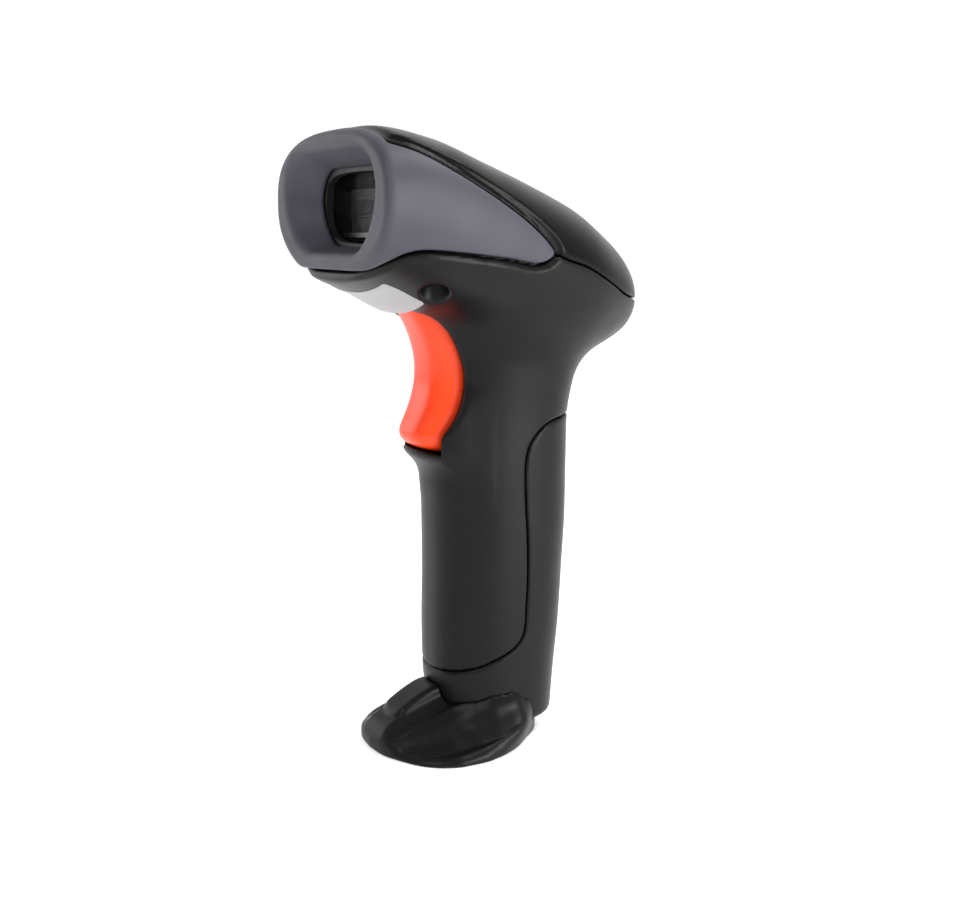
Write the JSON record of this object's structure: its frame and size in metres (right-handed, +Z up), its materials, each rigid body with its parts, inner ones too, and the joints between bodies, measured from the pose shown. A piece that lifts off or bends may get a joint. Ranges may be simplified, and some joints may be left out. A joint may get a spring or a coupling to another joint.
{
  "type": "handheld barcode scanner",
  "caption": "Cordless pistol-grip barcode scanner with a soft grey nose bumper, pull trigger, handle with a flared foot and a line imager behind a window.",
  "frame": {"origin": "middle of the handle's axis at the ground plane under the foot", "axes": "+Z up along the handle, -Y towards the nose and scan window, +X to the scanner's left-hand side as it points at a code"},
  "size_m": [0.0688, 0.0865, 0.1547],
  "materials": {
    "bumper_grey": "soft satin",
    "casing_black": "fine satin texture",
    "trigger_orange": "gloss",
    "window_clear": "clear acrylic",
    "frame_black": "matt",
    "steel": "zinc plated",
    "board_green": "solder resist",
    "chip_black": "moulded",
    "light_bar": "frosted acrylic",
    "lens_dark": "dark acrylic",
    "led_white": "clear epoxy",
    "cell_wrap": "shrink wrap",
    "holder": "moulded",
    "lead_red": "PVC",
    "flex": "polyimide film",
    "label_white": "matt paper-like film"
  },
  "bodies": {
    "casing": {"nose_bezel": "bumper_grey", "top_cover": "casing_black", "main_housing": "casing_black", "rear_grip": "casing_black", "foot": "casing_black", "trigger_pin": "steel", "trigger_spring": "steel", "window_frame": "frame_black", "scan_window": "window_clear", "label": "label_white", "head_screws": "steel", "foot_screws": "steel", "engine_flex": "flex", "engine_chassis": "frame_black", "light_bar": "light_bar", "slit_cover": "lens_dark", "engine_leds": "led_white", "led_board": "board_green", "lens_barrel": "chip_black", "image_sensor": "chip_black", "engine_board": "board_green", "engine_bracket": "steel", "engine_screws": "steel", "main_board": "board_green", "board_chips": "chip_black", "radio_module": "steel", "buzzer": "chip_black", "board_screws": "steel", "switch_body": "chip_black", "trigger_board": "board_green", "battery_cell": "cell_wrap", "battery_holder": "holder", "battery_contacts": "steel", "battery_leads": "lead_red", "charge_board": "board_green", "charging_socket": "steel"},
    "trigger": {"trigger": "trigger_orange"},
    "plunger": {"switch_plunger": "chip_black"}
  },
  "joints": [
    {"name": "trigger_pull", "type": "hinge", "parent": "casing", "child": "trigger", "pos_m": [0, -0.0125, 0.109], "axis": [1, 0, 0], "range_deg": [0, 6], "stiffness_Nm_per_rad": 0.3, "springref_deg": -8.59, "deforming": ["trigger_spring"]},
    {"name": "switch_press", "type": "slide", "parent": "casing", "child": "plunger", "axis": [0, 1, 0], "range_m": [0, 0.0008]}
  ],
  "couplings": [
    {"joint": "switch_press", "follows": "trigger_pull", "m_per_rad": 0.0076}
  ]
}
